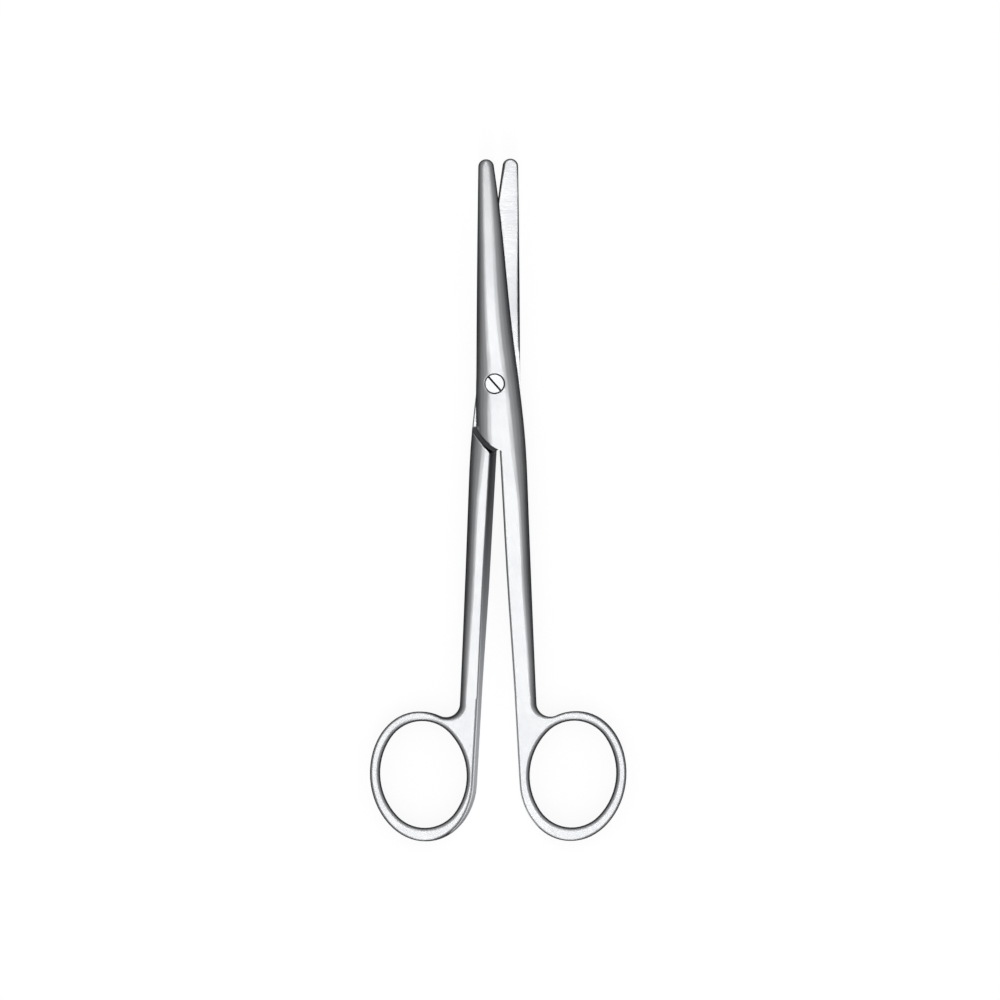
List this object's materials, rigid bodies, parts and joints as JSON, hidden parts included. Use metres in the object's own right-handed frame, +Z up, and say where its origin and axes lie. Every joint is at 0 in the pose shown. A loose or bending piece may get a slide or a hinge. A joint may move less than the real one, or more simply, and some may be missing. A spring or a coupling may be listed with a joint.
{
  "type": "dissecting scissors",
  "caption": "Curved blunt-tipped dissecting scissors with finger rings and a slotted pivot screw, lying slightly open.",
  "frame": {"origin": "on the pivot axis, at the lower end of the screw, level with the ground underside that the pair rests on", "axes": "+X to the right seen from above, +Y from the pivot towards the blade tips, +Z up along the pivot axis; the blades curve up"},
  "size_m": [0.0638, 0.1699, 0.0152],
  "materials": {
    "satin_steel": "satin polished stainless steel",
    "screw_steel": "polished stainless steel"
  },
  "bodies": {
    "back": {"back_half": "satin_steel", "pivot_screw": "screw_steel"},
    "front": {"front_half": "satin_steel"}
  },
  "joints": [
    {"name": "pivot", "type": "hinge", "parent": "back", "child": "front", "pos_m": [0, 0, 0.0033], "axis": [0, 0, 1], "range_deg": [-6.4, 100]}
  ]
}
